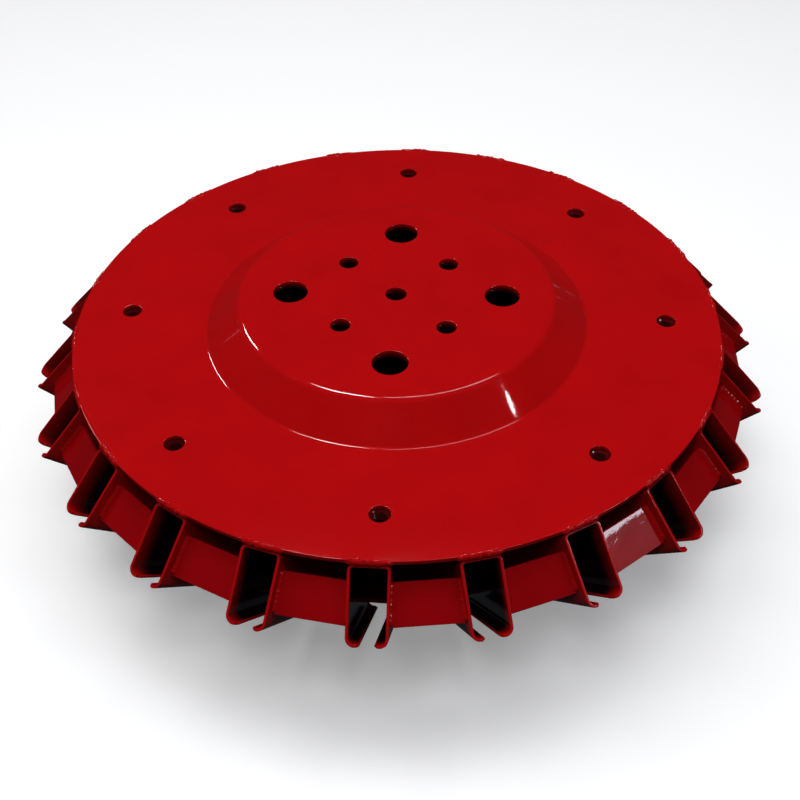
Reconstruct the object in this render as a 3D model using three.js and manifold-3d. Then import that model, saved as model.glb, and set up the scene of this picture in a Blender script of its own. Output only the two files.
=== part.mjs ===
// Carrier disc: a pressed sheet disc with a raised hub, 22 lipped channels welded under its rim,
// filler panels between the channels, a drum and a base ring inside them and weld nuts under the rim.
// Millimetres, +Z up. The origin is on the disc's axis, in the plane of the base ring's underside.
import * as THREE from 'three';
import { mergeVertices } from 'three/addons/utils/BufferGeometryUtils.js';
import Module from 'manifold-3d';

const wasm = await Module();
wasm.setup();

// Driving dimensions
const discRadius = 240;
const sheetThickness = 3;
const hubRise = 20.7;
const hubTopCornerRadius = 116.5;
const hubFootCornerRadius = 143.4;
const hubTopBend = 8;
const hubFootBend = 4;

const channelCount = 22;
const firstChannelAngle = 89;
const channelTilt = 42.7;
const channelWidth = 27;
const channelHeight = 51;
const channelLength = 150;
const channelWall = 2;
const webBend = 4;
const lipBend = 6;
const lipWidth = 8;

const panelSetback = 8.4;
const panelDrop = 11;
const panelHeight = 28;
const panelThickness = 3;

const ringInnerRadius = 125;
const ringThickness = 4;
const drumThickness = 3;

const rimHoleCount = 8;
const rimHoleCircle = 402;
const rimHoleDiameter = 14.3;

const largeHubHoleCircle = 157;
const largeHubHoleDiameter = 25.7;
const smallHubHoleCircle = 108;
const smallHubHoleDiameter = 14.5;
const centreHoleDiameter = 15.7;

const doublerRadius = 104;
const doublerThickness = 2.7;

const nutAcrossFlats = 19;
const nutHeight = 10;
const nutBore = 10.4;
const nutChamfer = 1.2;

const weldGap = 0.3;
const discSegments = 88;
const ringSegments = 66;
const bendSteps = 3;

// Derived sizes
const degree = Math.PI / 180;
const tilt = channelTilt * degree;
const halfPitch = Math.PI / channelCount;
const webDrop = sheetThickness + weldGap;
const discTop = webDrop + channelLength * Math.sin(tilt) + channelHeight * Math.cos(tilt);
const hubTop = discTop + hubRise;
const coneSlope = Math.atan2(hubRise, hubFootCornerRadius - hubTopCornerRadius);
const undersideShift = sheetThickness * Math.tan(coneSlope / 2);
const drumOuterRadius = discRadius - channelLength * Math.cos(tilt) - weldGap;
const channelFootRadius = discRadius - channelLength * Math.cos(tilt) + channelHeight * Math.sin(tilt);
const ringOuterRadius = channelFootRadius - ringThickness * Math.tan(tilt) - weldGap / Math.cos(tilt);

function paint(color, roughness = 0.25, metalness = 0.1) {
  return new THREE.MeshStandardMaterial({ color, roughness, metalness });
}

const discPaint = paint(0xac0e10);
const channelPaint = paint(0x8c0a10);
const panelPaint = paint(0x960c12);
const hardwarePaint = paint(0x7c0a0e, 0.35, 0.3);

// A closed geometry as a manifold solid, and a manifold solid as a geometry
function toSolid(geometry) {
  const bare = geometry.clone();
  bare.deleteAttribute('normal');
  bare.deleteAttribute('uv');
  const merged = mergeVertices(bare, 1e-4);
  return new wasm.Manifold(new wasm.Mesh({
    numProp: 3,
    vertProperties: new Float32Array(merged.attributes.position.array),
    triVerts: new Uint32Array(merged.index.array),
  }));
}

function toGeometry(solid) {
  const mesh = solid.getMesh();
  const geometry = new THREE.BufferGeometry();
  geometry.setAttribute('position', new THREE.BufferAttribute(new Float32Array(mesh.vertProperties), 3));
  geometry.setIndex(new THREE.BufferAttribute(new Uint32Array(mesh.triVerts), 1));
  geometry.computeVertexNormals();
  return geometry;
}

// A profile of [radius, height] points turned about the Z axis
function turned(points, segments) {
  const geometry = new THREE.LatheGeometry(points.map(([r, z]) => new THREE.Vector2(r, z)), segments);
  geometry.rotateX(Math.PI / 2);
  return geometry;
}

function upright(diameter, low, high, segments, x = 0, y = 0) {
  const geometry = new THREE.CylinderGeometry(diameter / 2, diameter / 2, high - low, segments);
  geometry.rotateX(Math.PI / 2);
  geometry.translate(x, y, (low + high) / 2);
  return geometry;
}

// Upright drills on a bolt circle
function drillsOnCircle(circle, diameter, count, firstAngle, low, high, segments) {
  const drills = [];
  for (let i = 0; i < count; i += 1) {
    const angle = firstAngle + (2 * Math.PI * i) / count;
    drills.push(upright(diameter, low, high, segments,
      (circle / 2) * Math.cos(angle), (circle / 2) * Math.sin(angle)));
  }
  return drills;
}

function drilled(geometry, drills) {
  let solid = toSolid(geometry);
  for (const drill of drills) {
    solid = solid.subtract(toSolid(drill));
  }
  return toGeometry(solid);
}

// Points of a bend of the given radius that rounds the corner b between a and c
function bend(a, b, c, radius, steps) {
  const corner = new THREE.Vector2(...b);
  const toA = new THREE.Vector2(...a).sub(corner).normalize();
  const toC = new THREE.Vector2(...c).sub(corner).normalize();
  const half = Math.acos(toA.dot(toC)) / 2;
  const start = corner.clone().addScaledVector(toA, radius / Math.tan(half));
  const centre = corner.clone().addScaledVector(toA.clone().add(toC).normalize(), radius / Math.sin(half));
  const from = start.sub(centre);
  const sweep = (Math.PI - 2 * half) * Math.sign(toA.y * toC.x - toA.x * toC.y);
  const points = [];
  for (let i = 0; i <= steps; i += 1) {
    const p = from.clone().rotateAround(new THREE.Vector2(), (sweep * i) / steps).add(centre);
    points.push([p.x, p.y]);
  }
  return points;
}

// Pressed disc: one sheet with a flat rim, a cone and a raised flat hub
function hubDrills() {
  const low = hubTop - 20;
  const high = hubTop + 5;
  return [
    ...drillsOnCircle(largeHubHoleCircle, largeHubHoleDiameter, 4, 0, low, high, 24),
    ...drillsOnCircle(smallHubHoleCircle, smallHubHoleDiameter, 4, Math.PI / 4, low, high, 20),
    upright(centreHoleDiameter, low, high, 20),
  ];
}

function pressedDisc() {
  const under = discTop - sheetThickness;
  const axisTop = [0, hubTop];
  const topCorner = [hubTopCornerRadius, hubTop];
  const footCorner = [hubFootCornerRadius, discTop];
  const rimTop = [discRadius, discTop];
  const rimUnder = [discRadius, under];
  const footUnder = [hubFootCornerRadius - undersideShift, under];
  const topUnder = [hubTopCornerRadius - undersideShift, hubTop - sheetThickness];
  const axisUnder = [0, hubTop - sheetThickness];
  const profile = [
    axisUnder,
    ...bend(axisUnder, topUnder, footUnder, hubTopBend - sheetThickness, bendSteps),
    ...bend(topUnder, footUnder, rimUnder, hubFootBend + sheetThickness, bendSteps),
    rimUnder,
    rimTop,
    ...bend(rimTop, footCorner, topCorner, hubFootBend, bendSteps),
    ...bend(footCorner, topCorner, axisTop, hubTopBend, bendSteps),
    axisTop,
  ];
  const rimDrills = drillsOnCircle(rimHoleCircle, rimHoleDiameter, rimHoleCount, 0,
    under - 5, discTop + 5, 20);
  return drilled(turned(profile, discSegments), [...hubDrills(), ...rimDrills]);
}

// Round plate under the hub's flat top, drilled with it
function hubDoubler() {
  const high = hubTop - sheetThickness - weldGap;
  return drilled(upright(2 * doublerRadius, high - doublerThickness, high, discSegments), hubDrills());
}

// Flat ring between the feet of the channels, its edge inside their sloping ends
function baseRing() {
  return drilled(upright(2 * ringOuterRadius, 0, ringThickness, ringSegments),
    [upright(2 * ringInnerRadius, -5, ringThickness + 5, ringSegments)]);
}

// Rolled hoop from the base ring up to the cone's underside, against the inner ends of the webs
function innerDrum() {
  const low = ringThickness + weldGap;
  const coneReach = hubFootCornerRadius - undersideShift - drumOuterRadius;
  const high = discTop - sheetThickness + coneReach * Math.tan(coneSlope) - weldGap / Math.cos(coneSlope);
  return drilled(upright(2 * drumOuterRadius, low, high, ringSegments),
    [upright(2 * (drumOuterRadius - drumThickness), low - 5, high + 5, ringSegments)]);
}

// Lipped channel: web along the X axis, walls and lips towards +Y, extruded along +Z
function channelSection() {
  const half = channelWidth / 2;
  const bottom = channelHeight;
  const lipEnd = half - lipWidth;
  const wall = channelWall;
  const webInner = webBend - wall;
  const lipInner = lipBend - wall;
  const points = [
    [-lipEnd, bottom],
    ...bend([0, bottom], [-half, bottom], [-half, 0], lipBend, bendSteps),
    ...bend([-half, bottom], [-half, 0], [half, 0], webBend, bendSteps),
    ...bend([-half, 0], [half, 0], [half, bottom], webBend, bendSteps),
    ...bend([half, 0], [half, bottom], [0, bottom], lipBend, bendSteps),
    [lipEnd, bottom],
    [lipEnd, bottom - wall],
    ...bend([0, bottom - wall], [half - wall, bottom - wall], [half - wall, wall], lipInner, bendSteps),
    ...bend([half - wall, bottom - wall], [half - wall, wall], [-half, wall], webInner, bendSteps),
    ...bend([half - wall, wall], [wall - half, wall], [wall - half, bottom - wall], webInner, bendSteps),
    ...bend([wall - half, wall], [wall - half, bottom - wall], [0, bottom - wall], lipInner, bendSteps),
    [-lipEnd, bottom - wall],
  ];
  return new THREE.Shape(points.map(([x, y]) => new THREE.Vector2(x, y)));
}

// Panel that fills a bay between two channels: narrower at its top edge
function panelSection() {
  const innerFace = panelSetback + panelThickness;
  const halfWidthAt = (drop) => {
    const apothem = discRadius - innerFace * Math.cos(tilt) + drop * Math.sin(tilt);
    return apothem * Math.tan(halfPitch) - channelWidth / 2 / Math.cos(halfPitch) - weldGap;
  };
  const low = panelDrop + panelHeight;
  const top = halfWidthAt(panelDrop);
  const bottom = halfWidthAt(low);
  return new THREE.Shape([
    new THREE.Vector2(-top, panelDrop),
    new THREE.Vector2(top, panelDrop),
    new THREE.Vector2(bottom, low),
    new THREE.Vector2(-bottom, low),
  ]);
}

// Hexagonal weld nut, its bore chamfered at the disc's side
function weldNut() {
  const hexagon = upright(nutAcrossFlats / Math.cos(Math.PI / 6), -nutHeight, 0, 6);
  const bore = nutBore / 2;
  const cutter = turned([
    [0, -nutHeight - 2],
    [bore, -nutHeight - 2],
    [bore, -nutChamfer],
    [bore + nutChamfer + 1, 1],
    [0, 1],
  ], 16);
  return drilled(hexagon, [cutter]);
}

// Stretch along a channel: X tangential, Y from web to lips, Z inwards and down from the mouth
const tiltedFrame = new THREE.Matrix4().makeBasis(
  new THREE.Vector3(0, 1, 0),
  new THREE.Vector3(Math.sin(tilt), 0, -Math.cos(tilt)),
  new THREE.Vector3(-Math.cos(tilt), 0, -Math.sin(tilt)),
).setPosition(discRadius, 0, discTop - webDrop);

function extruded(shape, depth) {
  return new THREE.ExtrudeGeometry(shape, { depth, bevelEnabled: false, curveSegments: bendSteps });
}

const carrier = new THREE.Group();

function addPart(name, geometry, material, parent = carrier) {
  const mesh = new THREE.Mesh(geometry, material);
  mesh.name = name;
  parent.add(mesh);
  return mesh;
}

function addAround(angle) {
  const holder = new THREE.Group();
  holder.rotation.z = angle;
  carrier.add(holder);
  return holder;
}

addPart('pressed_disc', pressedDisc(), discPaint);
addPart('hub_doubler_plate', hubDoubler(), hardwarePaint);
addPart('base_ring', baseRing(), channelPaint);
addPart('inner_drum', innerDrum(), channelPaint);

const channelGeometry = extruded(channelSection(), channelLength).applyMatrix4(tiltedFrame);
const panelGeometry = extruded(panelSection(), panelThickness)
  .translate(0, 0, panelSetback)
  .applyMatrix4(tiltedFrame);

for (let i = 0; i < channelCount; i += 1) {
  const number = String(i + 1).padStart(2, '0');
  const angle = firstChannelAngle * degree - 2 * halfPitch * i;
  addPart(`channel_${number}`, channelGeometry, channelPaint, addAround(angle));
  addPart(`rim_panel_${number}`, panelGeometry, panelPaint, addAround(angle - halfPitch));
}

const nutGeometry = weldNut();
for (let i = 0; i < rimHoleCount; i += 1) {
  const nut = addPart(`weld_nut_${i + 1}`, nutGeometry, hardwarePaint,
    addAround((2 * Math.PI * i) / rimHoleCount));
  nut.position.set(rimHoleCircle / 2, 0, discTop - webDrop);
}

export default carrier;
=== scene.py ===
import bpy
import bmesh
import math
import random
from mathutils import Matrix, Vector, noise
from mathutils.geometry import delaunay_2d_cdt


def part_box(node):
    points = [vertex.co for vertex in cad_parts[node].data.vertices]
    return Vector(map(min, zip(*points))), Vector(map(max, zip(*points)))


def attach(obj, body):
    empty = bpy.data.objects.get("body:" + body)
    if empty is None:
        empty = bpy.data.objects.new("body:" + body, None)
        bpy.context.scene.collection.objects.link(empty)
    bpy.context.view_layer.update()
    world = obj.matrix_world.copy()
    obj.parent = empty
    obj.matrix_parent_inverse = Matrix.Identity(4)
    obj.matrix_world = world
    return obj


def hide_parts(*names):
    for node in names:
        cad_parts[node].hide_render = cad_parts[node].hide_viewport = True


# Red carrier disc: pressed sheet disc with a doubler, ring of lipped channels with panels between
# them, base ring, drum, weld beads and weld nuts.
# Sizes in the dictionaries are in mm; meshes are turned to metres when they are made.

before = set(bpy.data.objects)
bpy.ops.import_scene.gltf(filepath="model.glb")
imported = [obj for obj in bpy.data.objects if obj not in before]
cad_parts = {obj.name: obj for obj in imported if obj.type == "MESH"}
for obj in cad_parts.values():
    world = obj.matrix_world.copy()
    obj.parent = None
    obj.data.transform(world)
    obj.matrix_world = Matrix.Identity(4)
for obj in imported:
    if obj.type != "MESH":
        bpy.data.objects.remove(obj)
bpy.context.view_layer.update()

mm = 0.001
nodeNames = sorted(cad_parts)
channelNames = [n for n in nodeNames if n.startswith("channel_")]
panelNames = [n for n in nodeNames if n.startswith("rim_panel_")]
nutNames = [n for n in nodeNames if n.startswith("weld_nut_")]

# sizes shared with the CAD, read from the frame where it holds them
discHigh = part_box("pressed_disc")[1]
hubTopZ = discHigh.z / mm
hubRise = 20.7
rimTopZ = hubTopZ - hubRise
discRadius = discHigh.x / mm
sheet = 3.0
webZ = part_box(nutNames[0])[1].z / mm   # underside of the rim, where the webs and nuts meet it
tiltAngle = math.radians(42.7)         # the channels fall inwards by this much
firstAngle = math.radians(89)
pitchAngle = 2 * math.pi / len(channelNames)


def say(stage):
    print("carrier disc:", stage)


def linear(hexColour):
    def channelValue(value):
        value /= 255
        return value / 12.92 if value <= 0.04045 else ((value + 0.055) / 1.055) ** 2.4
    digits = hexColour.lstrip("#")
    return tuple(channelValue(int(digits[i:i + 2], 16)) for i in (0, 2, 4)) + (1.0,)


def addNode(tree, kind, settings=None, links=None):
    node = tree.nodes.new(kind)
    for name, value in (settings or {}).items():
        if name in node.inputs:
            node.inputs[name].default_value = value
        else:
            setattr(node, name, value)
    for name, source in (links or {}).items():
        tree.links.new(source, node.inputs[name])
    return node


def newMaterial(name):
    material = bpy.data.materials.new(name)
    material.use_nodes = True
    tree = material.node_tree
    tree.nodes.clear()
    output = addNode(tree, "ShaderNodeOutputMaterial")
    place = addNode(tree, "ShaderNodeTexCoord")
    return material, tree, output, place.outputs["Object"]


def colourRamp(tree, source, stops):
    ramp = addNode(tree, "ShaderNodeValToRGB", links={"Fac": source})
    ends = ramp.color_ramp.elements
    ends[0].position, ends[0].color = stops[0][0], linear(stops[0][1])
    ends[1].position, ends[1].color = stops[-1][0], linear(stops[-1][1])
    for position, colour in stops[1:-1]:
        ends.new(position).color = linear(colour)
    return ramp.outputs["Color"]


enamel = {
    "deep": "#ac070a",        # where the film lies thick
    "body": "#b0080b",
    "thin": "#b4080b",        # where it is pulled thin
    "bare": "#16060a",        # near-black painted shade, deep inside the channels
    "fade": (-3.0, 20.0),     # mm down a channel over which the painted shade sets in
    "peel": 2.4,              # mm from one orange-peel bump to the next
    "peelHeight": 0.010,
    "swell": 16.0,            # mm, slow waves left by pressing and welding
    "swellHeight": 0.05,
    "nibSpacing": 34.0,
    "nib": 0.8,               # mm, dust nibs under the film
    "nibHeight": 0.004,
    "drift": 38.0,            # mm, patches where the colour changes slightly
    "ragged": 6.0,            # mm, ragged fringe of the painted shade inside the channels
    "raggedReach": 5.0,       # mm the fringe shifts the edge of the painted shade
    "polish": 4.0,            # mm, patches where the roughness changes slightly
    "roughness": 0.42,
    "underGloss": 0.0,        # the pigmented layer does not shine, the clear film over it does
    "coat": 1.0,
    "coatRoughness": 0.04,
    "ior": 1.5,
    "stops": (0.3, 0.5, 0.72),      # where deep, body and thin lie in the drift
    "polishRange": (0.85, 1.2),     # least and most of the roughness
}


def channelDepth(tree, place):
    # distance down a channel from its mouth, the same for every channel round the axis
    flat = addNode(tree, "ShaderNodeVectorMath", {"operation": "MULTIPLY"}, {0: place})
    flat.inputs[1].default_value = (1, 1, 0)
    radius = addNode(tree, "ShaderNodeVectorMath", {"operation": "LENGTH"}, {0: flat.outputs[0]})
    split = addNode(tree, "ShaderNodeSeparateXYZ", links={"Vector": place})
    along = addNode(tree, "ShaderNodeMath", {"operation": "MULTIPLY_ADD"}, {0: radius.outputs["Value"]})
    along.inputs[1].default_value = -math.cos(tiltAngle)
    along.inputs[2].default_value = (discRadius * math.cos(tiltAngle)
                                     + webZ * math.sin(tiltAngle)) * mm
    down = addNode(tree, "ShaderNodeMath", {"operation": "MULTIPLY_ADD"},
                   {0: split.outputs["Z"], 2: along.outputs[0]})
    down.inputs[1].default_value = -math.sin(tiltAngle)
    return down.outputs[0]


def powderCoat(name, look, shadeInChannel=False):
    # Gloss powder coat on steel, sprayed and stoved: an even red film that flows into a fine
    # orange peel, a touch deeper where it lies thick, with a few dust nibs under it. Down inside
    # the channels the colour is blended to near black with depth, as painted shade.
    material, tree, output, place = newMaterial(name)
    drift = addNode(tree, "ShaderNodeTexNoise",
                    {"Scale": 1 / (look["drift"] * mm), "Detail": 3.0, "Roughness": 0.55},
                    {"Vector": place})
    tones = (look["deep"], look["body"], look["thin"])
    colour = colourRamp(tree, drift.outputs["Fac"], list(zip(look["stops"], tones)))
    # painted shade: inside a channel the colour blends to near black with depth
    if shadeInChannel:
        depth = channelDepth(tree, place)
        ragged = addNode(tree, "ShaderNodeTexNoise",
                         {"Scale": 1 / (look["ragged"] * mm), "Detail": 3.0}, {"Vector": place})
        start, end = look["fade"]
        edge = addNode(tree, "ShaderNodeMath", {"operation": "MULTIPLY_ADD"},
                       {0: ragged.outputs["Fac"], 2: depth})
        edge.inputs[1].default_value = look["raggedReach"] * mm
        shadeAmount = addNode(tree, "ShaderNodeMapRange",
                        {"interpolation_type": "SMOOTHSTEP", "From Min": start * mm,
                         "From Max": end * mm, "To Min": 0.0, "To Max": 1.0},
                        {"Value": edge.outputs[0]})
        blend = addNode(tree, "ShaderNodeMix", {"data_type": "RGBA"})
        tree.links.new(shadeAmount.outputs["Result"], blend.inputs[0])
        tree.links.new(colour, blend.inputs[6])
        blend.inputs[7].default_value = linear(look["bare"])
        colour = blend.outputs[2]
    fine = addNode(tree, "ShaderNodeTexNoise",
                   {"Scale": 1 / (look["polish"] * mm), "Detail": 4.0, "Roughness": 0.6},
                   {"Vector": place})
    least, most = look["polishRange"]
    polish = addNode(tree, "ShaderNodeMapRange",
                     {"From Min": 0.3, "From Max": 0.7,
                      "To Min": look["roughness"] * least, "To Max": look["roughness"] * most},
                     {"Value": fine.outputs["Fac"]})
    peel = addNode(tree, "ShaderNodeTexNoise",
                   {"Scale": 1 / (look["peel"] * mm), "Detail": 1.5, "Roughness": 0.45},
                   {"Vector": place})
    swell = addNode(tree, "ShaderNodeTexNoise",
                    {"Scale": 1 / (look["swell"] * mm), "Detail": 1.0, "Roughness": 0.4},
                    {"Vector": place})
    nibs = addNode(tree, "ShaderNodeTexVoronoi",
                   {"feature": "F1", "Scale": 1 / (look["nibSpacing"] * mm)}, {"Vector": place})
    nibShape = addNode(tree, "ShaderNodeMapRange",
                       {"From Min": 0.0, "From Max": look["nib"] / look["nibSpacing"],
                        "To Min": 1.0, "To Max": 0.0},
                       {"Value": nibs.outputs["Distance"]})
    bump = None
    for height, distance in ((swell.outputs["Fac"], look["swellHeight"]),
                             (peel.outputs["Fac"], look["peelHeight"]),
                             (nibShape.outputs["Result"], look["nibHeight"])):
        links = {"Height": height}
        if bump:
            links["Normal"] = bump.outputs["Normal"]
        bump = addNode(tree, "ShaderNodeBump", {"Strength": 1.0, "Distance": distance * mm}, links)
    shader = addNode(tree, "ShaderNodeBsdfPrincipled",
                     {"IOR": look["ior"], "Metallic": 0.0, "Specular IOR Level": look["underGloss"],
                      "Coat Weight": look["coat"],
                      "Coat Roughness": look["coatRoughness"], "Coat IOR": look["ior"]},
                     {"Base Color": colour, "Roughness": polish.outputs["Result"],
                      "Normal": bump.outputs["Normal"], "Coat Normal": bump.outputs["Normal"]})
    tree.links.new(shader.outputs["BSDF"], output.inputs["Surface"])
    return material


say("materials")
discEnamel = powderCoat("glossPowderCoatDisc", enamel)
channelEnamel = powderCoat("glossPowderCoatChannel", dict(enamel, peel=2.0, peelHeight=0.016))
# inside faces of the channels: enamel darkened to near black with depth, painted shade
channelShadeEnamel = powderCoat("enamelWithPaintedShadeInChannels", dict(enamel, coatRoughness=0.09), True)
# panels take a darker red than the disc: painted shade for the dimmer light on them
panelEnamel = powderCoat("orangePeelPanelCoatDarkenedAsShade",
                         dict(enamel, deep="#94030a", body="#9c040b", thin="#a4050c", peel=2.0,
                              peelHeight=0.024, swell=7.0, swellHeight=0.035, nibHeight=0.03,
                              roughness=0.40, coatRoughness=0.05))
beadEnamel = powderCoat("glossPowderCoatOverWeld",
                        dict(enamel, peel=1.3, peelHeight=0.010, swell=4.0, swellHeight=0.05,
                             nibSpacing=7.0, nib=0.7, nibHeight=0.08))
# nuts, doubler plate and drum: the same red darkened towards black, painted shade for where they sit
# under the disc
shadeDarkenedEnamel = powderCoat("enamelDarkenedAsPaintedShade",
                       dict(enamel, deep="#3a0507", body="#4a0608", thin="#5a0709",
                            roughness=0.38, coatRoughness=0.06))


def steadyNormals(mesh, sharpAbove):
    # corner normals led by the larger faces, so a flat stays flat beside its bevels
    limit = math.cos(math.radians(sharpAbove))
    around = [[] for _ in mesh.vertices]
    for face in mesh.polygons:
        for vertex in face.vertices:
            around[vertex].append((face.normal.copy(), face.area))
    corners = []
    for face in mesh.polygons:
        for vertex in face.vertices:
            total = Vector((0, 0, 0))
            for normal, area in around[vertex]:
                if normal.dot(face.normal) > limit:
                    total += normal * area
            corners.append(total.normalized() if total.length > 0 else face.normal.copy())
    mesh.normals_split_custom_set(corners)


def toObject(name, mesh, material, sharpAbove=32.0, inside=None):
    mesh.materials.append(material)
    if inside:
        mesh.materials.append(inside)
    mesh.shade_smooth()
    mesh.set_sharp_from_angle(angle=math.radians(sharpAbove))
    steadyNormals(mesh, sharpAbove)
    piece = bpy.data.objects.new(name, mesh)
    bpy.context.scene.collection.objects.link(piece)
    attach(piece, "root")
    return piece


def arcPoints(corner, before, after, radius, steps):
    # points of a bend that rounds a corner of a profile
    b = Vector(corner)
    toA = (Vector(before) - b).normalized()
    toC = (Vector(after) - b).normalized()
    half = toA.angle(toC) / 2
    start = b + toA * radius / math.tan(half)
    centre = b + (toA + toC).normalized() * radius / math.sin(half)
    sweep = (math.pi - 2 * half) * (1 if toA.y * toC.x - toA.x * toC.y > 0 else -1)
    arm = start - centre
    return [tuple(centre + Matrix.Rotation(sweep * i / steps, 2) @ arm) for i in range(steps + 1)]


def ringPoints(radius, z, count, cx=0.0, cy=0.0):
    return [(cx + radius * math.cos(2 * math.pi * i / count),
             cy + radius * math.sin(2 * math.pi * i / count), z) for i in range(count)]


edgeSteps = 4         # faces across a rounded edge
bevelMiddle = 0.3     # of the rounding, the middle of a bevel made in two steps


def quarterTurn():
    return [math.pi / 2 * i / edgeSteps for i in range(edgeSteps + 1)]


class Builder:
    # gathers the points and faces of one piece
    def __init__(self):
        self.points = []
        self.faces = []
        self.insideFaces = set()

    def loop(self, points):
        first = len(self.points)
        self.points.extend(points)
        return list(range(first, len(self.points)))

    def skin(self, a, b):
        n = len(a)
        for i in range(n):
            j = (i + 1) % n
            self.faces.append((a[i], a[j], b[j], b[i]))

    def skinAll(self, loops):
        for a, b in zip(loops, loops[1:]):
            self.skin(a, b)

    def flatSheet(self, z, outer, holes, inner=None):
        # flat face between an outline and its holes, triangulated
        flat, edges, owner = [], [], []
        for number, ring in enumerate([outer] + holes + ([inner] if inner else [])):
            start = len(flat)
            flat.extend(Vector((p[0], p[1])) for p in ring)
            owner.extend([number] * len(ring))
            edges.extend((start + i, start + (i + 1) % len(ring)) for i in range(len(ring)))
        verts, _, faces, fromPoint, *_ = delaunay_2d_cdt(flat, edges, [], 0, 1e-5)
        first = len(self.points)
        self.points.extend((v.x, v.y, z) for v in verts)
        for face in faces:
            owners = {owner[fromPoint[i][0]] for i in face}
            if len(owners) > 1 or owners == {0}:   # a face with one hole's points only lies in it
                self.faces.append(tuple(first + i for i in face))

    def holeWall(self, x, y, radius, high, low, edge, count):
        # wall of a drilled hole with a small rounded edge at each face
        profile = [(radius + edge * (1 - math.sin(a)), high - edge * (1 - math.cos(a)))
                   for a in quarterTurn()]
        profile += [(radius + edge * (1 - math.cos(a)), low + edge * (1 - math.sin(a)))
                    for a in quarterTurn()]
        self.skinAll([self.loop(ringPoints(r, z, count, x, y)) for r, z in profile])

    def mesh(self, name, place=None, weld=0.002):
        mesh = bpy.data.meshes.new(name)
        mesh.from_pydata([tuple(c * mm for c in p) for p in self.points], [], self.faces)
        for index in self.insideFaces:
            mesh.polygons[index].material_index = 1
        if place is not None:
            mesh.transform(place)
        tidy = bmesh.new()
        tidy.from_mesh(mesh)
        bmesh.ops.remove_doubles(tidy, verts=tidy.verts, dist=weld * mm)
        bmesh.ops.recalc_face_normals(tidy, faces=tidy.faces)
        tidy.to_mesh(mesh)
        tidy.free()
        return mesh


# pressed disc

disc = {
    "topCorner": 116.5,
    "footCorner": 142.0,
    "topBend": 8.5,
    "footBend": 4.2,
    "topSteps": 12,
    "bendSteps": 8,
    "edge": 0.4,          # rounding of the sheared rim
    "holeEdge": 0.45,
    "largeCircle": 157.0, "largeHole": 25.7,
    "smallCircle": 108.0, "smallHole": 14.5,
    "centreHole": 15.7,
    "rimCircle": 402.0, "rimHole": 14.3,
    "segments": 352,
    "holeSegments": 48,
}


def circleOfHoles(circle, diameter, count, turn=0.0):
    angles = [turn + 2 * math.pi * i / count for i in range(count)]
    return [(circle / 2 * math.cos(a), circle / 2 * math.sin(a), diameter / 2) for a in angles]


hubHoles = ([(0.0, 0.0, disc["centreHole"] / 2)]
            + circleOfHoles(disc["largeCircle"], disc["largeHole"], 4)
            + circleOfHoles(disc["smallCircle"], disc["smallHole"], 4, math.pi / 4))
rimHoles = circleOfHoles(disc["rimCircle"], disc["rimHole"], len(nutNames))


def edgeProfile(radius, high, low, edge):
    profile = [(radius - edge + edge * math.sin(a), high - edge + edge * math.cos(a))
               for a in quarterTurn()]
    return profile + [(radius - edge + edge * math.cos(a), low + edge - edge * math.sin(a))
                      for a in quarterTurn()]


def makeDisc():
    count, edge, lipEdge = disc["segments"], disc["edge"], disc["holeEdge"]
    slope = math.atan2(hubRise, disc["footCorner"] - disc["topCorner"])
    shift = sheet * math.tan(slope / 2)
    under = rimTopZ - sheet
    topCorner, footCorner = (disc["topCorner"], hubTopZ), (disc["footCorner"], rimTopZ)
    topUnder = (disc["topCorner"] - shift, hubTopZ - sheet)
    footUnder = (disc["footCorner"] - shift, under)
    upper = arcPoints(topCorner, (0, hubTopZ), footCorner, disc["topBend"], disc["topSteps"])
    steps = disc["bendSteps"]
    upper += arcPoints(footCorner, topCorner, (discRadius, rimTopZ), disc["footBend"], steps)
    lower = arcPoints(topUnder, (0, topUnder[1]), footUnder, disc["topBend"] - sheet, steps)
    lower += arcPoints(footUnder, topUnder, (discRadius, under), disc["footBend"] + sheet, steps)
    rim = edgeProfile(discRadius, rimTopZ, under, edge)
    build = Builder()
    for profile in (upper, lower, rim):
        build.skinAll([build.loop(ringPoints(r, z, count)) for r, z in profile])
    for z, profile, rimRing in ((rimTopZ, upper, rim[0]), (under, lower, rim[-1])):
        hubZ = profile[0][1]
        mouths = [ringPoints(r + lipEdge, z, disc["holeSegments"], x, y) for x, y, r in hubHoles]
        build.flatSheet(hubZ, ringPoints(profile[0][0], hubZ, count), mouths)
        mouths = [ringPoints(r + lipEdge, z, disc["holeSegments"], x, y) for x, y, r in rimHoles]
        build.flatSheet(z, ringPoints(rimRing[0], z, count), mouths,
                        ringPoints(profile[-1][0], z, count))
    for holes, high in ((hubHoles, hubTopZ), (rimHoles, rimTopZ)):
        for x, y, r in holes:
            build.holeWall(x, y, r, high, high - sheet, lipEdge, disc["holeSegments"])
    piece = toObject("pressedDisc", build.mesh("discMesh"), discEnamel)
    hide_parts("pressed_disc")


say("pressed disc")
makeDisc()

# hub doubler plate, base ring and drum

plates = {"edge": 0.5, "segments": 176, "holeSegments": 40, "ringInner": 125.0, "drumWall": 3.0}


def makeFlatPlate(name, node, material, holes, innerRadius=None):
    low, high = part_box(node)
    radius, z0, z1 = high.x / mm, low.z / mm, high.z / mm
    edge, count = plates["edge"], plates["segments"]
    build = Builder()
    build.skinAll([build.loop(ringPoints(r, z, count)) for r, z in edgeProfile(radius, z1, z0, edge)])
    for z in (z1, z0):
        mouths = [ringPoints(r + edge, z, plates["holeSegments"], x, y) for x, y, r in holes]
        inner = ringPoints(innerRadius + edge, z, count) if innerRadius else None
        build.flatSheet(z, ringPoints(radius - edge, z, count), mouths, inner)
    for x, y, r in holes:
        build.holeWall(x, y, r, z1, z0, edge, plates["holeSegments"])
    if innerRadius:
        build.holeWall(0, 0, innerRadius, z1, z0, edge, count)
    piece = toObject(name, build.mesh(name + "Mesh"), material)
    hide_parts(node)


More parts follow.
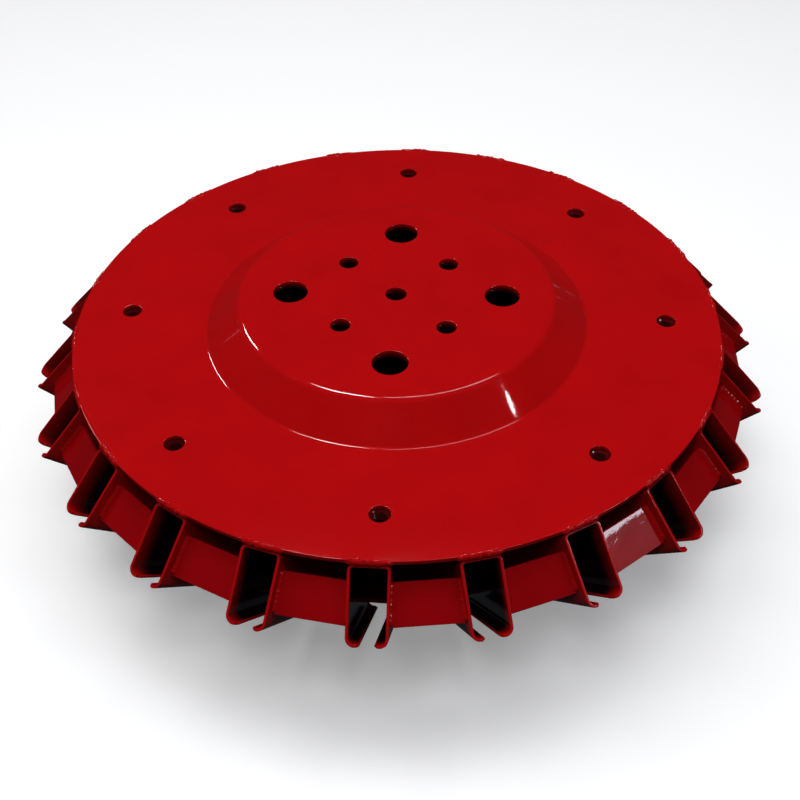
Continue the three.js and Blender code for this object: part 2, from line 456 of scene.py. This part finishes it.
say("hub doubler plate, base ring and drum")
# the doubler and the drum take the enamel darkened as painted shade
makeFlatPlate("hubDoublerPlate", "hub_doubler_plate", shadeDarkenedEnamel, hubHoles)
makeFlatPlate("baseRing", "base_ring", channelEnamel, [], plates["ringInner"])
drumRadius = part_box("inner_drum")[1].x / mm
makeFlatPlate("innerDrum", "inner_drum", shadeDarkenedEnamel, [],
              drumRadius - plates["drumWall"])

# lipped channels

channel = {
    "width": 27.0, "height": 51.0, "length": 150.0, "wall": 2.0,
    "webBend": 4.0, "lipBend": 6.0, "lip": 8.0,
    "edge": 0.45,           # rounding of the sawn ends
    "lipCorner": 3.2,       # rounding of the lips' corners at each end
    "bodyRows": (4.0, 20.0, 60.0),
    "lipRows": (0.0, 0.5, 1.1),       # back from a lip's free edge
    "lipSteps": 8, "webSteps": 6,
    "noseAngles": (50, 18, -18, -50),
}


def channelPlace(angle):
    # X across the channel, Y from web to lips, Z inwards and down from the mouth
    there = Matrix(((0, math.sin(tiltAngle), -math.cos(tiltAngle), discRadius * mm),
                    (1, 0, 0, 0),
                    (0, -math.cos(tiltAngle), -math.sin(tiltAngle), webZ * mm),
                    (0, 0, 0, 1)))
    return Matrix.Rotation(angle, 4, "Z") @ there


def channelSkin(offset, webRadius, lipRadius):
    # one face of the bent strip, from the left lip's free edge round to the right one's
    half, lipEnd = channel["width"] / 2 - offset, channel["width"] / 2 - channel["lip"]
    top, low = offset, channel["height"] - offset
    flat = [(-lipEnd - d, low) for d in channel["lipRows"]]
    left = flat + arcPoints((-half, low), (0, low), (-half, 0), lipRadius, channel["lipSteps"])
    left += arcPoints((-half, top), (-half, low), (half, top), webRadius, channel["webSteps"])
    return left + [(-x, y) for x, y in reversed(left)]


def channelRing(inset):
    wall = channel["wall"]
    outer = channelSkin(inset, channel["webBend"] - inset, channel["lipBend"] - inset)
    inner = channelSkin(wall - inset, channel["webBend"] - wall + inset,
                        channel["lipBend"] - wall + inset)
    # the lips' free edges are rounded over
    lipEnd, low = channel["width"] / 2 - channel["lip"], channel["height"]
    reach = wall / 2 - inset
    nose = [(-lipEnd + reach * math.cos(a), low - wall / 2 + reach * math.sin(a))
            for a in (math.radians(d) for d in channel["noseAngles"])]
    return outer, inner, nose


def cornerShift(x, y):
    # how far a lip's rounded corner sets a point back from the sawn end
    if y < channel["height"] - channel["lipBend"]:
        return 0.0
    radius = channel["lipCorner"]
    d = max(0.0, abs(x) - (channel["width"] / 2 - channel["lip"]))
    if d >= radius:
        return 0.0
    return radius - math.sqrt(radius ** 2 - (radius - d) ** 2)


def makeChannelBuild():
    edge, length = channel["edge"], channel["length"]
    corner = [(0.0, edge), (edge * bevelMiddle, edge * bevelMiddle), (edge, 0.0)]
    stations = [(z, inset, 1) for z, inset in corner]
    stations += [(z, 0.0, 0) for z in channel["bodyRows"]]
    stations += [(length - z, 0.0, 0) for z in reversed(channel["bodyRows"])]
    stations += [(length - z, inset, -1) for z, inset in reversed(corner)]
    build = Builder()
    rows = []
    for z, inset, side in stations:
        outer, inner, nose = channelRing(inset)
        mirrored = [(-x, y) for x, y in reversed(nose)]
        ring = outer + mirrored + inner[::-1] + nose[::-1]
        rows.append(build.loop([(x, y, z + side * cornerShift(x, y)) for x, y in ring]))
    skinCount, noseCount = len(outer), len(nose)
    for a, b in zip(rows, rows[1:]):
        first = len(build.faces)
        build.skin(a, b)
        inside = range(skinCount + noseCount, 2 * skinCount + noseCount - 1)
        build.insideFaces.update(first + i for i in inside)
    for row in (rows[0], rows[-1]):
        outerRow = row[:skinCount]
        innerRow = row[skinCount + noseCount:2 * skinCount + noseCount][::-1]
        for i in range(skinCount - 1):
            build.faces.append((outerRow[i], outerRow[i + 1], innerRow[i + 1], innerRow[i]))
        rightNose = row[skinCount:skinCount + noseCount]
        build.faces.append((outerRow[-1], *rightNose, innerRow[-1]))
        leftNose = row[2 * skinCount + noseCount:]
        build.faces.append((innerRow[0], *leftNose, outerRow[0]))
    return build


say("channels")
channelBuild = makeChannelBuild()
for i, node in enumerate(channelNames):
    mesh = channelBuild.mesh(node + "Mesh", channelPlace(firstAngle - pitchAngle * i))
    # the channels' inside faces take the enamel with painted shade
    piece = toObject("channel" + node[-2:], mesh, channelEnamel,
                     inside=channelShadeEnamel)
    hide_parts(node)

# panels between the channels

panel = {"setback": 8.4, "drop": 11.0, "height": 28.0, "thickness": 3.0, "gap": 0.3, "edge": 0.4,
         "across": 12, "down": 6, "bow": 0.05, "wave": (1.3, 0.5, 7.3)}


def panelHalfWidth(drop):
    depth = panel["setback"] + panel["thickness"]
    apothem = discRadius - depth * math.cos(tiltAngle) + drop * math.sin(tiltAngle)
    return (apothem * math.tan(pitchAngle / 2)
            - channel["width"] / 2 / math.cos(pitchAngle / 2) - panel["gap"])


def makePanelBuild(seed):
    # sheared plate, drawn slightly out of flat by the heat of its welds
    edge, front, back = panel["edge"], panel["setback"], panel["setback"] + panel["thickness"]
    across, down, middle = panel["across"], panel["down"], edge * bevelMiddle
    waveAcross, waveDown, waveSeed = panel["wave"]
    build = Builder()

    def outline(inset):
        top, low = panel["drop"] + inset, panel["drop"] + panel["height"] - inset
        points = []
        for k in range(across):
            t = -1 + 2 * k / across
            points.append((t * (panelHalfWidth(top) - inset), top))
        for k in range(down):
            drop = top + (low - top) * k / down
            points.append((panelHalfWidth(drop) - inset, drop))
        for k in range(across):
            t = 1 - 2 * k / across
            points.append((t * (panelHalfWidth(low) - inset), low))
        for k in range(down):
            drop = low + (top - low) * k / down
            points.append((-(panelHalfWidth(drop) - inset), drop))
        return points

    rows = [build.loop([(x, y, z) for x, y in outline(inset)])
            for z, inset in ((front, edge), (front + middle, middle), (front + edge, 0.0),
                             (back - edge, 0.0), (back - middle, middle), (back, edge))]
    build.skinAll(rows)
    for z, bowed in ((front, panel["bow"]), (back, 0.0)):
        top, low = panel["drop"] + edge, panel["drop"] + panel["height"] - edge
        grid = []
        for j in range(down + 1):
            drop = top + (low - top) * j / down
            line = []
            for k in range(across + 1):
                t = -1 + 2 * k / across
                dish = (1 - t * t) * (1 - (2 * j / down - 1) ** 2)
                wave = noise.noise(Vector((t * waveAcross, j * waveDown, seed * waveSeed)))
                line.append((t * (panelHalfWidth(drop) - edge), drop,
                             z + bowed * dish * (1 + wave)))
            grid.append(build.loop(line))
        for a, b in zip(grid, grid[1:]):
            for k in range(across):
                build.faces.append((a[k], a[k + 1], b[k + 1], b[k]))
    return build


say("panels")
for i, node in enumerate(panelNames):
    place = channelPlace(firstAngle - pitchAngle * (i + 0.5))
    mesh = makePanelBuild(i).mesh(node + "Mesh", place)
    piece = toObject("rimPanel" + node[-2:], mesh, panelEnamel)
    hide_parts(node)

# weld beads

# noise that shapes every bead; slow, drift and lump count its waves per mm along the bead
beadWave = {"slow": 0.16, "slowHeight": 0.22, "drift": 0.2, "lump": 0.55, "lumpRound": 1.3}


def beadMesh(name, route, normals, look, seed, place=None):
    # a bead swept along a joint, swelling a little with each puddle of the weld
    rng = random.Random(seed)
    phase = rng.uniform(0, 2 * math.pi)
    sides, count = look["sides"], len(route)
    build = Builder()
    rows = []
    travelled = 0.0
    for i in range(count):
        here = Vector(route[i])
        ahead = (Vector(route[min(i + 1, count - 1)]) - Vector(route[max(i - 1, 0)])).normalized()
        across = ahead.cross(Vector(normals[i])).normalized()
        up = across.cross(ahead).normalized()
        if i:
            travelled += (here - Vector(route[i - 1])).length
        left = min(i, count - 1 - i) * look["step"]
        taper = min(1.0, (left / look["taper"]) ** 0.5 + 0.03)
        slow = noise.noise(Vector((travelled * beadWave["slow"], seed * 3.7, 1.7)))
        sway = noise.noise(Vector((travelled * beadWave["drift"], 9.1, seed * 1.3)))
        drift = across * look["wander"] * sway
        ring = []
        for k in range(sides):
            a = 2 * math.pi * k / sides
            ripple = math.sin(phase + 2 * math.pi * travelled / look["puddle"] + math.cos(a))
            lump = noise.noise(Vector((travelled * beadWave["lump"],
                                       math.cos(a) * beadWave["lumpRound"] + seed,
                                       math.sin(a) * beadWave["lumpRound"])))
            swell = (1 + look["ripple"] * ripple + look["lump"] * lump
                     + beadWave["slowHeight"] * slow)
            ring.append(tuple(here + drift + (across * look["wide"] * math.cos(a)
                                              + up * look["tall"] * math.sin(a)) * swell * taper))
        rows.append(build.loop(ring))
    build.skinAll(rows)
    build.faces.append(tuple(reversed(rows[0])))
    build.faces.append(tuple(rows[-1]))
    return build.mesh(name, place)


rimBead = {"halfLength": 14.6, "step": 0.5, "wide": 2.5, "tall": 1.7, "sides": 16, "taper": 3.4,
           "puddle": 4.6, "ripple": 0.06, "lump": 0.34, "wander": 0.6,
           "radius": -0.3, "drop": 1.7, "lean": 0.2, "uneven": 0.7, "sharpAbove": 70}


def makeRimBead(i):
    # joins a web's mouth end to the rim of the disc
    angle = firstAngle - pitchAngle * i
    rng = random.Random(100 + i)
    half = rimBead["halfLength"] + rng.uniform(-rimBead["uneven"], rimBead["uneven"])
    steps = int(2 * half / rimBead["step"])
    route, normals = [], []
    for k in range(steps + 1):
        a = angle + (-half + 2 * half * k / steps) / discRadius
        r = discRadius + rimBead["radius"]
        route.append((r * math.cos(a), r * math.sin(a), rimTopZ - rimBead["drop"]))
        normals.append((math.cos(a), math.sin(a), rimBead["lean"]))
    mesh = beadMesh(f"rimBeadMesh{i}", route, normals, rimBead, 100 + i)
    toObject(f"rimBead{i + 1:02d}", mesh, beadEnamel,
             rimBead["sharpAbove"])


say("weld beads on the rim")
for i in range(len(channelNames)):
    makeRimBead(i)

sideBead = {"wide": 2.5, "tall": 1.2, "step": 0.5, "sides": 12, "taper": 1.6,
            "puddle": 3.4, "ripple": 0.04, "lump": 0.25, "wander": 0.3, "ends": (0.2, 1.0),
            "offset": 0.1, "sharpAbove": 70}


def makeSideBeads(i):
    # fillets down both ends of a panel, against the channels' walls
    place = channelPlace(firstAngle - pitchAngle * (i + 0.5))
    top = panel["drop"] + sideBead["ends"][0]
    low = panel["drop"] + panel["height"] - sideBead["ends"][1]
    steps = int((low - top) / sideBead["step"])
    for side in (-1, 1):
        route, normals = [], []
        for k in range(steps + 1):
            drop = top + (low - top) * k / steps
            route.append((side * (panelHalfWidth(drop) + sideBead["offset"]), drop,
                          panel["setback"] + sideBead["offset"]))
            normals.append((-side * 0.7, 0.0, -0.7))
        mesh = beadMesh(f"sideBeadMesh{i}{side}", route, normals, sideBead, 300 + 2 * i + side,
                        place)
        name = f"panelBead{i + 1:02d}" + ("a" if side < 0 else "b")
        toObject(name, mesh, beadEnamel, sideBead["sharpAbove"])


say("weld beads beside the panels")
for i in range(len(panelNames)):
    makeSideBeads(i)

# weld nuts

nut = {"flats": 19.0, "height": 10.0, "bore": 5.2, "major": 6.1, "pitch": 1.75, "chamfer": 1.2,
       "around": 48, "perTurn": 8, "crown": 0.9, "crownDrop": 1.0, "crest": 0.12,
       "mouth": 0.3, "lead": 0.75, "leadTop": 0.75, "leadFoot": 0.6, "sharpAbove": 28}


def makeNutBuild():
    # hexagon with a right-hand thread cut in its bore and crowned corners
    build = Builder()
    around, pitch, height = nut["around"], nut["pitch"], nut["height"]
    chamfer, lead = nut["chamfer"], nut["bore"] + nut["lead"]
    mouth = nut["bore"] + nut["chamfer"] + nut["mouth"]
    rows = [build.loop(ringPoints(mouth, 0.0, around)),
            build.loop(ringPoints(lead, -chamfer * nut["leadTop"], around))]
    threaded = height - 2 * chamfer
    steps = int(threaded / pitch * nut["perTurn"])
    for k in range(steps + 1):
        z = -chamfer - threaded * k / steps
        ring = []
        for j in range(around):
            a = 2 * math.pi * j / around
            turn = (z / pitch - j / around) % 1.0
            groove = 1 - abs(2 * turn - 1)
            flank = min(1.0, max(0.0, (groove - nut["crest"]) / (1 - 2 * nut["crest"])))
            r = nut["bore"] + (nut["major"] - nut["bore"]) * flank
            ring.append((r * math.cos(a), r * math.sin(a), z))
        rows.append(build.loop(ring))
    rows.append(build.loop(ringPoints(lead, -height + chamfer * nut["leadFoot"], around)))
    rows.append(build.loop(ringPoints(mouth, -height, around)))
    build.skinAll(rows)
    flat = nut["flats"] / 2
    corner = flat / math.cos(math.pi / 6)
    hexRows = []
    drop = nut["crownDrop"]
    for z, crown in ((0.0, nut["crown"]), (-drop, 0.0), (-height + drop, 0.0),
                     (-height, nut["crown"])):
        ring = []
        for j in range(around):
            a = 2 * math.pi * j / around
            sector = (a + math.pi / 6) % (math.pi / 3) - math.pi / 6
            r = min(flat / math.cos(sector), corner - crown)
            ring.append((r * math.cos(a), r * math.sin(a), z))
        hexRows.append(build.loop(ring))
    build.skinAll(hexRows)
    build.skin(rows[0], hexRows[0])
    build.skin(rows[-1], hexRows[-1])
    return build


say("weld nuts")
nutBuild = makeNutBuild()
for i, node in enumerate(nutNames):
    place = (Matrix.Rotation(2 * math.pi * i / len(nutNames), 4, "Z")
             @ Matrix.Translation((disc["rimCircle"] / 2 * mm, 0, webZ * mm)))
    # the nuts take the enamel darkened as painted shade
    piece = toObject("weldNut" + node[-1], nutBuild.mesh(node + "Mesh", place), shadeDarkenedEnamel,
                     nut["sharpAbove"])
    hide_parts(node)

# floor, and a dark sheet under the hub as painted shade

studio = {
    "floorColour": "#f2f2f3",
    "floorSize": 14.0,
    "floorGlow": 0.30,
    "floorRoughness": 0.9,
    # near-black sheet under the hub: painted shade seen through the hub holes
    "shadeSheetColour": "#0b0a0b",
    "shadeSheetRoughness": 1.0,
    "gloss": 0.2,
    "shadeSheetRadius": 0.124,
    "shadeSheetHeight": 0.0004,
    "shadeSheetSegments": 96,
    "aimHeight": 0.13,        # where the lamps point
    "lampDistance": 2.2,
    "airColour": (0.80, 0.88, 1.0, 1.0),
    "airStrength": 0.022,
}


def addStage(name, mesh, materialName, colour, roughness, glow=0.0):
    thing = bpy.data.objects.new(name, mesh)
    bpy.context.scene.collection.objects.link(thing)
    material, tree, output, _ = newMaterial(materialName)
    shader = addNode(tree, "ShaderNodeBsdfPrincipled",
                     {"Base Color": linear(colour), "Roughness": roughness,
                      "Emission Color": linear(colour), "Emission Strength": glow,
                      "Specular IOR Level": studio["gloss"]})
    tree.links.new(shader.outputs["BSDF"], output.inputs["Surface"])
    mesh.materials.append(material)
    return thing


def makeFloor():
    floorMesh = bpy.data.meshes.new("floorMesh")
    half = studio["floorSize"] / 2
    floorMesh.from_pydata([(-half, -half, 0), (half, -half, 0), (half, half, 0), (-half, half, 0)],
                          [], [(0, 1, 2, 3)])
    floor = addStage("floor", floorMesh, "mattPaperFloor", studio["floorColour"],
                     studio["floorRoughness"], studio["floorGlow"])
    floor.visible_glossy = False     # the enamel does not mirror it
    floor.visible_diffuse = False    # and no pale light bounces up into the channels
    # near-black sheet on the floor under the hub, painted shade that keeps light from showing through
    # the holes
    shadeSheetMesh = bpy.data.meshes.new("shadeSheetMesh")
    ring = ringPoints(studio["shadeSheetRadius"], studio["shadeSheetHeight"], studio["shadeSheetSegments"])
    shadeSheetMesh.from_pydata(ring, [], [tuple(range(len(ring)))])
    addStage("paintedShadeSheetUnderHub", shadeSheetMesh, "paintedShadeSheetMaterial", studio["shadeSheetColour"], studio["shadeSheetRoughness"])


say("floor, lights and camera")
makeFloor()

world = bpy.data.worlds.new("studioAir")
bpy.context.scene.world = world
world.use_nodes = True
world.node_tree.nodes.clear()
air = addNode(world.node_tree, "ShaderNodeBackground",
              {"Color": studio["airColour"], "Strength": studio["airStrength"]})
addNode(world.node_tree, "ShaderNodeOutputWorld", links={"Surface": air.outputs["Background"]})

# the camera stands a little to the right of the front and looks down on the disc
view = {"azimuth": -86.2186, "distance": 0.7186, "aboveRim": 0.56741, "lens": 54.646, "sensor": 36.0,
        "roll": -1.1937, "aim": (0.00129, 0.00008, -0.08578)}   # aim and height from the rim's top
cameraData = bpy.data.cameras.new("camera")
cameraData.sensor_width = view["sensor"]
cameraData.lens = view["lens"]
camera = bpy.data.objects.new("camera", cameraData)
bpy.context.scene.collection.objects.link(camera)
azimuth = math.radians(view["azimuth"])
camera.location = (view["distance"] * math.cos(azimuth), view["distance"] * math.sin(azimuth),
                   view["aboveRim"] + rimTopZ * mm)
looking = Vector(view["aim"]) + Vector((0, 0, rimTopZ * mm)) - camera.location
camera.rotation_mode = "QUATERNION"
camera.rotation_quaternion = (looking.to_track_quat("-Z", "Y")
                              @ Matrix.Rotation(math.radians(view["roll"]), 3, "Z").to_quaternion())
bpy.context.scene.camera = camera

# Broad fills light the paint; small bright panels make the glints. Angles are in degrees, round
# the axis and above the level of the point where the lamps aim.
lights = [
    {"name": "topFill", "azimuth": 90, "elevation": 85, "size": (1.0, 1.0), "power": 12.2,
     "glints": False},
    {"name": "rightBackFill", "azimuth": 30, "elevation": 66, "size": (0.9, 0.9), "power": 7.8,
     "glints": False},
    {"name": "leftBackFill", "azimuth": 150, "elevation": 66, "size": (0.9, 0.9), "power": 12.4,
     "glints": False},
    {"name": "rightFill", "azimuth": -24, "elevation": 50, "size": (0.8, 0.8), "power": 4.5,
     "glints": False, "colour": (0.92, 0.95, 1.0)},
    {"name": "frontFill", "azimuth": -95, "elevation": 62, "size": (0.8, 0.8), "power": 13.2,
     "glints": False},
    {"name": "leftFill", "azimuth": 175, "elevation": 40, "size": (0.8, 0.8), "power": 4.6,
     "glints": False},
    {"name": "crownStrip", "azimuth": 110, "elevation": 59.5, "size": (0.32, 0.30), "power": 9.0,
     "glints": True},
    {"name": "crownTail", "azimuth": 80, "elevation": 58, "size": (0.70, 0.12), "power": 3.0,
     "glints": True},
    {"name": "leftStrip", "azimuth": 128.5, "elevation": 41.5, "size": (0.24, 0.30), "power": 7.0,
     "glints": True},
    {"name": "rightSpark", "azimuth": -11.8, "elevation": 41.0, "size": (0.08, 0.035),
     "power": 0.35, "glints": True},
    {"name": "rightWindow", "azimuth": -19, "elevation": 23.7, "size": (0.42, 0.31), "power": 5.0,
     "glints": True, "colour": (0.82, 0.88, 1.0)},
    {"name": "rightLowGlow", "azimuth": -27, "elevation": 20, "size": (0.95, 0.8), "power": 1.0,
     "glints": True, "colour": (0.82, 0.88, 1.0)},
    {"name": "leftSlitA", "azimuth": 145, "elevation": 17, "size": (0.02, 0.34), "power": 0.012,
     "glints": True, "colour": (0.90, 0.94, 1.0)},
    {"name": "leftSlitB", "azimuth": 151, "elevation": 17, "size": (0.02, 0.34), "power": 0.010,
     "glints": True, "colour": (0.90, 0.94, 1.0)},
    {"name": "rightSlitA", "azimuth": 57, "elevation": 1, "size": (0.02, 0.30), "power": 0.008,
     "glints": True, "colour": (0.90, 0.94, 1.0)},
    {"name": "rightSlitB", "azimuth": 51, "elevation": 6, "size": (0.012, 0.30), "power": 0.003,
     "glints": True, "colour": (0.90, 0.94, 1.0)},
]
for look in lights:
    data = bpy.data.lights.new(look["name"], "AREA")
    data.shape = "RECTANGLE"
    data.size, data.size_y = look["size"]
    data.energy = look["power"]
    data.color = look.get("colour", (1.0, 1.0, 1.0))
    lamp = bpy.data.objects.new(look["name"], data)
    bpy.context.scene.collection.objects.link(lamp)
    lamp.visible_glossy = look["glints"]
    lamp.visible_diffuse = not look["glints"]    # small lamps only glint, soft ones only fill
    a, e = math.radians(look["azimuth"]), math.radians(look["elevation"])
    target = Vector((0, 0, studio["aimHeight"]))
    lamp.location = target + studio["lampDistance"] * Vector(
        (math.cos(e) * math.cos(a), math.cos(e) * math.sin(a), math.sin(e)))
    lamp.rotation_mode = "QUATERNION"
    lamp.rotation_quaternion = (target - lamp.location).to_track_quat("-Z", "Y")

bpy.context.scene.view_settings.view_transform = "Standard"

say("done")
